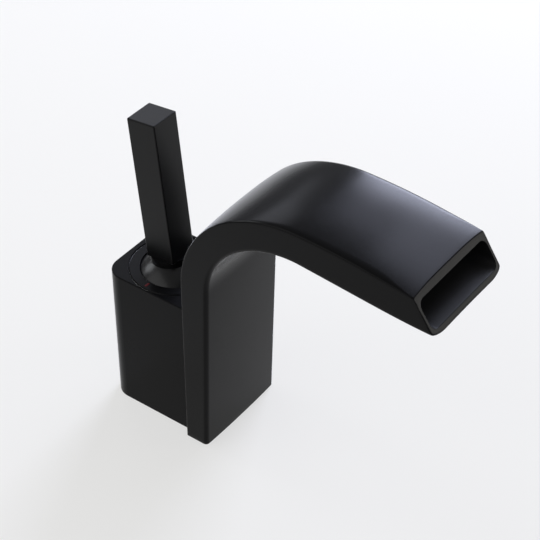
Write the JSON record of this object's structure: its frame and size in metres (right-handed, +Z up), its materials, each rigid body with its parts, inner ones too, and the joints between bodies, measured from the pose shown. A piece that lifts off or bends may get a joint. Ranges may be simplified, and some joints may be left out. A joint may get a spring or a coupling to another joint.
{
  "type": "waterfall basin faucet",
  "caption": "Deck-mounted basin mixer: box body, wide arched waterfall spout with an open slanted mouth, and a square joystick lever on a dome.",
  "frame": {"origin": "on the axis of the cartridge, cap ring and stud hole, in the plane of the deck", "axes": "+X along the spout towards the mouth, +Y to the faucet's cold side, +Z up from the deck"},
  "size_m": [0.1674, 0.05, 0.1465],
  "materials": {
    "body_finish": "satin black lacquer",
    "spout_finish": "satin black lacquer",
    "lever_finish": "satin black lacquer",
    "dome_finish": "gloss black lacquer",
    "ring_finish": "satin black lacquer",
    "brass": "machined",
    "steel": "machined",
    "rubber": "matt",
    "cartridge_plastic": "moulded",
    "rotor_plastic": "moulded",
    "ceramic": "lapped alumina",
    "washer_plastic": "moulded",
    "red_enamel": "enamel",
    "blue_enamel": "enamel",
    "plug_plastic": "moulded"
  },
  "bodies": {
    "faucet_body": {"body_block": "body_finish", "spout_shell": "spout_finish", "spout_port_oring": "rubber", "spout_screws": "steel", "base_gasket": "rubber", "cartridge_housing": "cartridge_plastic", "cartridge_base": "cartridge_plastic", "cartridge_seals": "rubber", "fixed_ceramic_disc": "ceramic", "rotor_washer": "washer_plastic", "rotor_seal": "rubber", "cartridge_lock_nut": "brass", "cap_ring": "ring_finish", "cap_ring_seal": "rubber", "hot_mark": "red_enamel", "cold_mark": "blue_enamel"},
    "rotor": {"cartridge_rotor": "rotor_plastic", "stem_pivot_pin": "steel"},
    "lever": {"cartridge_stem": "brass", "handle_bar": "lever_finish", "dome_cover": "dome_finish", "handle_grub_screw": "steel", "handle_screw_plug": "plug_plastic"},
    "disc": {"disc_carrier": "rotor_plastic", "moving_ceramic_disc": "ceramic"}
  },
  "joints": [
    {"name": "temperature_turn", "type": "hinge", "parent": "faucet_body", "child": "rotor", "pos_m": [0, 0, 0.0545], "axis": [0, 0, 1], "range_deg": [-45, 45]},
    {"name": "lever_tilt", "type": "hinge", "parent": "rotor", "child": "lever", "pos_m": [0, 0, 0.0545], "axis": [0, 1, 0], "range_deg": [0, 15]},
    {"name": "disc_slide", "type": "slide", "parent": "rotor", "child": "disc", "axis": [1, 0, 0], "range_m": [-0.0026, 0]}
  ],
  "couplings": [
    {"joint": "disc_slide", "follows": "lever_tilt", "m_per_rad": -0.0095}
  ]
}
